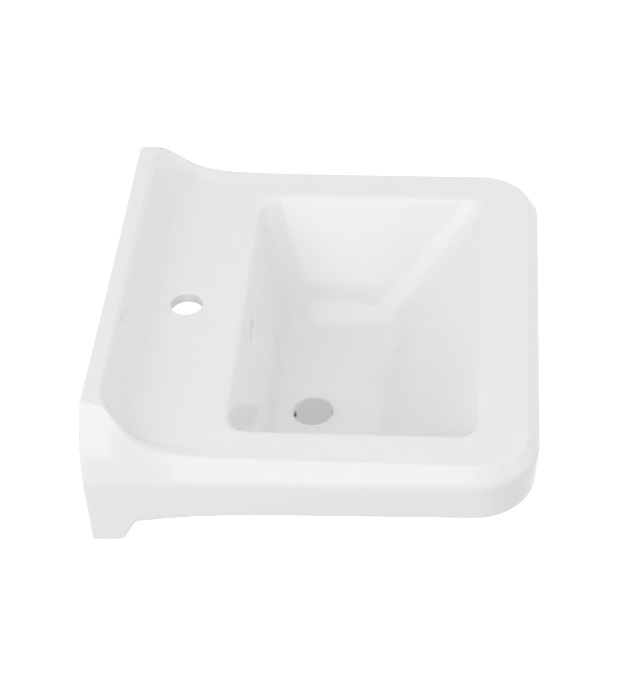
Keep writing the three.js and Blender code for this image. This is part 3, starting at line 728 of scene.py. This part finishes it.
def build_mottle():
    """Mottle = 0.65 * broad noise + 0.35 * fine noise, on Object coordinates."""
    group = bpy.data.node_groups.new("mottle", "ShaderNodeTree")
    group.interface.new_socket("Broad", in_out="INPUT", socket_type="NodeSocketFloat")
    group.interface.new_socket("Fine", in_out="INPUT", socket_type="NodeSocketFloat")
    group.interface.new_socket("Value", in_out="OUTPUT", socket_type="NodeSocketFloat")
    nodes, links = group.nodes, group.links
    given = nodes.new("NodeGroupInput")
    coordinates = nodes.new("ShaderNodeTexCoord")
    mix = nodes.new("ShaderNodeMix")
    mix.inputs["Factor"].default_value = 0.35
    for socket, target in (("Broad", "A"), ("Fine", "B")):
        noise = nodes.new("ShaderNodeTexNoise")
        noise.inputs["Detail"].default_value = 3
        links.new(coordinates.outputs["Object"], noise.inputs["Vector"])
        links.new(given.outputs[socket], noise.inputs["Scale"])
        links.new(noise.outputs["Fac"], mix.inputs[target])
    result = nodes.new("NodeGroupOutput")
    links.new(mix.outputs["Result"], result.inputs["Value"])
    return group


MOTTLE = build_mottle()


class Finish:
    """A material with its Principled shader, and short ways to add nodes to it."""

    def __init__(self, name):
        self.material = bpy.data.materials.new(name)
        self.material.use_nodes = True
        self.nodes = self.material.node_tree.nodes
        self.links = self.material.node_tree.links
        self.shader = self.nodes["Principled BSDF"]

    def add(self, kind, **settings):
        node = self.nodes.new(kind)
        for name, value in settings.items():
            setattr(node, name, value)
        return node

    def mottle(self, broad, fine):
        node = self.add("ShaderNodeGroup", node_tree=MOTTLE)
        node.inputs["Broad"].default_value = broad
        node.inputs["Fine"].default_value = fine
        return node.outputs["Value"]

    def ramp(self, value, stops):
        """Colours or greys between the stops of a value."""
        node = self.add("ShaderNodeValToRGB")
        while len(node.color_ramp.elements) < len(stops):
            node.color_ramp.elements.new(0.5)
        for element, (position, colour) in zip(node.color_ramp.elements, stops):
            element.position = position
            element.color = (*colour, 1) if isinstance(colour, tuple) else (colour, colour, colour, 1)
        self.links.new(value, node.inputs["Fac"])
        return node.outputs["Color"]

    def remap(self, value, from_range, to_range):
        node = self.add("ShaderNodeMapRange")
        for socket, number in zip(("From Min", "From Max", "To Min", "To Max"), (*from_range, *to_range)):
            node.inputs[socket].default_value = number
        self.links.new(value, node.inputs["Value"])
        return node.outputs["Result"]

    def blend(self, factor, first, second, kind="RGBA"):
        node = self.add("ShaderNodeMix", data_type=kind)
        sockets = {"RGBA": (6, 7, 2), "FLOAT": (2, 3, 0)}[kind]
        for number, source in zip(sockets[:2], (first, second)):
            if isinstance(source, bpy.types.NodeSocket):
                self.links.new(source, node.inputs[number])
            else:
                node.inputs[number].default_value = source
        self.links.new(factor, node.inputs[0])
        return node.outputs[sockets[2]]

    def bump(self, height, strength, distance, base=None):
        node = self.add("ShaderNodeBump")
        node.inputs["Strength"].default_value = strength
        node.inputs["Distance"].default_value = distance
        self.links.new(height, node.inputs["Height"])
        if base is not None:
            self.links.new(base, node.inputs["Normal"])
        self.links.new(node.outputs["Normal"], self.shader.inputs["Normal"])
        return node.outputs["Normal"]

    def set(self, **values):
        for name, value in values.items():
            socket = self.shader.inputs[name.replace("_", " ")]
            if isinstance(value, bpy.types.NodeSocket):
                self.links.new(value, socket)
            else:
                socket.default_value = value


# %% Glazed china


def china_finish():
    """White glaze with faint tone and waviness; bare speckled body within a millimetre of the wall plane."""
    finish = Finish("glazed_china")
    tone = finish.mottle(6, 40)
    glaze = finish.ramp(tone, [(0.3, GLAZE_DIM), (0.7, GLAZE)])
    place_node = finish.add("ShaderNodeTexCoord")
    axes = finish.add("ShaderNodeSeparateXYZ")
    finish.links.new(place_node.outputs["Object"], axes.inputs["Vector"])
    edge = finish.add("ShaderNodeMath", operation="MULTIPLY_ADD")
    finish.links.new(finish.mottle(90, 400), edge.inputs[0])
    edge.inputs[1].default_value = 0.0012
    finish.links.new(axes.outputs["Y"], edge.inputs[2])
    bare = finish.remap(edge.outputs[0], (-0.0004, 0.0004), (0, 1))
    body = finish.ramp(finish.mottle(380, 1900), [(0.3, BODY_DIM), (0.5, BODY), (0.7, BODY)])
    finish.set(Base_Color=finish.blend(bare, glaze, body))
    gloss = finish.remap(finish.mottle(14, 160), (0.3, 0.7), (0.045, 0.085))
    finish.set(Roughness=finish.blend(bare, gloss, 0.78, "FLOAT"))
    finish.set(IOR=1.52)
    waves = finish.bump(finish.mottle(55, 22), 0.25, 0.0004)
    finish.bump(finish.mottle(700, 1800), 0.06, 0.0002, waves)
    return finish.material


GLAZE = (0.94, 0.945, 0.95)
GLAZE_DIM = (0.92, 0.927, 0.935)
BODY = (0.76, 0.73, 0.67)
BODY_DIM = (0.68, 0.65, 0.59)


# %% Zinc-plated steel and rubber


def zinc_finish(name, colour, roughness):
    """Plating with a cloudy tone, fine pits and duller patches."""
    finish = Finish(name)
    dim = tuple(channel * 0.82 for channel in colour)
    finish.set(Base_Color=finish.ramp(finish.mottle(90, 500), [(0.3, dim), (0.7, colour)]))
    finish.set(Metallic=1.0)
    finish.set(Roughness=finish.remap(finish.mottle(140, 800), (0.3, 0.7), (roughness, roughness + 0.16)))
    finish.bump(finish.mottle(900, 2600), 0.25, 0.0001)
    return finish.material


def rubber_finish():
    """Matt black with a dusting of grey and a fine grain."""
    finish = Finish("washer_rubber")
    dust = finish.mottle(300, 1500)
    finish.set(Base_Color=finish.ramp(dust, [(0.35, (0.016, 0.016, 0.018)), (0.75, (0.05, 0.05, 0.052))]))
    finish.set(Roughness=finish.remap(finish.mottle(200, 900), (0.3, 0.7), (0.68, 0.88)))
    finish.bump(finish.mottle(700, 2600), 0.4, 0.0002)
    return finish.material


china = china_finish()
finishes = {
    "hanger_steel": zinc_finish("dull_zinc", (0.60, 0.61, 0.63), 0.34),
    "screw_steel": zinc_finish("bright_zinc", (0.74, 0.75, 0.77), 0.22),
    "washer_rubber": rubber_finish(),
}
print("finishes:", sorted(m.name for m in bpy.data.materials))

# %% [markdown]
# ## Tie every piece to the model
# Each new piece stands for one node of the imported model, rides on that node's body and takes its slot.

# %% Bodies and slots
slot_of = {entry["node"]: entry["material_slot"] for entry in frame["record"]["subparts"]}
bodies = frame["record"]["behaviour"]["bodies"]
body_of_node = {node: body for body, members in bodies.items() for node in members}


def fit(piece, node, material):
    piece.data.materials.clear()
    piece.data.materials.append(material)
    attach(piece, body_of_node[node])
    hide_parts(node)


fit(basin, "basin", china)
for node, piece in hardware.values():
    fit(piece, node, finishes[slot_of[node]])

# %% [markdown]
# ## Floor, backdrop and light
# A washbasin's rim hangs about 850 mm above the floor, so the floor is placed there, far below the object. It
# is pale, and what the camera sees of it is lifted by a little emission, so that it reads as a white page
# and still takes the object's shadow. Its underside is clear, so that the basin can be looked at from below.
# The light is two big soft sources, from the side and from the front, plus an even sky.

# %% Floor
FLOOR_LEVEL = -0.85
FLOOR_TONE = (0.62, 0.62, 0.62)
FLOOR_LIFT = 0.62


def make_floor():
    size = 14
    corners = np.array([[-size, -size], [size, -size], [size, size], [-size, size]]) / MM
    points = np.column_stack([corners, np.full(4, FLOOR_LEVEL / MM)])
    floor_piece = make_object("studio_floor", points, np.array([[0, 1, 2, 3]]))
    finish = Finish("studio_floor")
    finish.set(Base_Color=(*FLOOR_TONE, 1), Roughness=0.9)
    path = finish.add("ShaderNodeLightPath")
    seen = finish.add("ShaderNodeMath", operation="MAXIMUM")
    finish.links.new(path.outputs["Is Camera Ray"], seen.inputs[0])
    glossy = finish.add("ShaderNodeMath", operation="MAXIMUM")
    finish.links.new(path.outputs["Is Glossy Ray"], glossy.inputs[0])
    finish.links.new(path.outputs["Is Transmission Ray"], glossy.inputs[1])
    finish.links.new(glossy.outputs[0], seen.inputs[1])
    lift = finish.remap(seen.outputs[0], (0, 1), (0, FLOOR_LIFT))
    finish.shader.inputs["Emission Color"].default_value = (1, 1, 1, 1)
    finish.links.new(lift, finish.shader.inputs["Emission Strength"])
    facing = finish.add("ShaderNodeNewGeometry")
    clear = finish.add("ShaderNodeBsdfTransparent")
    sided = finish.add("ShaderNodeMixShader")
    finish.links.new(facing.outputs["Backfacing"], sided.inputs[0])
    finish.links.new(finish.shader.outputs["BSDF"], sided.inputs[1])
    finish.links.new(clear.outputs["BSDF"], sided.inputs[2])
    finish.links.new(sided.outputs["Shader"], finish.nodes["Material Output"].inputs["Surface"])
    floor_piece.data.materials.append(finish.material)


make_floor()

# %% Sky: white where it is seen or mirrored, dimmer where it lights the object
SKY_LIGHT = 0.61


def make_sky():
    world = bpy.data.worlds.new("sky")
    bpy.context.scene.world = world
    world.use_nodes = True
    nodes, links = world.node_tree.nodes, world.node_tree.links
    background = nodes["Background"]
    background.inputs["Color"].default_value = (1, 1, 1, 1)
    path = nodes.new("ShaderNodeLightPath")
    seen = nodes.new("ShaderNodeMath")
    seen.operation = "MAXIMUM"
    mirrored = nodes.new("ShaderNodeMath")
    mirrored.operation = "MAXIMUM"
    links.new(path.outputs["Is Camera Ray"], seen.inputs[0])
    links.new(path.outputs["Is Glossy Ray"], mirrored.inputs[0])
    links.new(path.outputs["Is Transmission Ray"], mirrored.inputs[1])
    links.new(mirrored.outputs[0], seen.inputs[1])
    strength = nodes.new("ShaderNodeMapRange")
    strength.inputs["To Min"].default_value = SKY_LIGHT
    strength.inputs["To Max"].default_value = 1.0
    links.new(seen.outputs[0], strength.inputs["Value"])
    links.new(strength.outputs["Result"], background.inputs["Strength"])


make_sky()


# %% Lamps


def soft_lamp(name, place_at, aim_at, size, power):
    """A square area lamp that looks from one point to another."""
    data = bpy.data.lights.new(name, "AREA")
    data.shape = "SQUARE"
    data.size = size
    data.energy = power
    lamp = bpy.data.objects.new(name, data)
    bpy.context.scene.collection.objects.link(lamp)
    lamp.location = place_at
    lamp.rotation_euler = (Vector(aim_at) - Vector(place_at)).to_track_quat("-Z", "Y").to_euler()
    return lamp


LAMP_SIZE = 5.0
centre = Vector((0, -0.23, 0))
soft_lamp("side_light", (-2.6, 1.7, 1.9), centre, LAMP_SIZE, 68)
soft_lamp("front_light", (0.4, -3.0, 2.0), centre, LAMP_SIZE, 29)

# %% [markdown]
# ## Colours as they are
# The Standard view shows a colour as it is written, which keeps white china white.

# %% View transform
bpy.context.scene.view_settings.view_transform = "Standard"
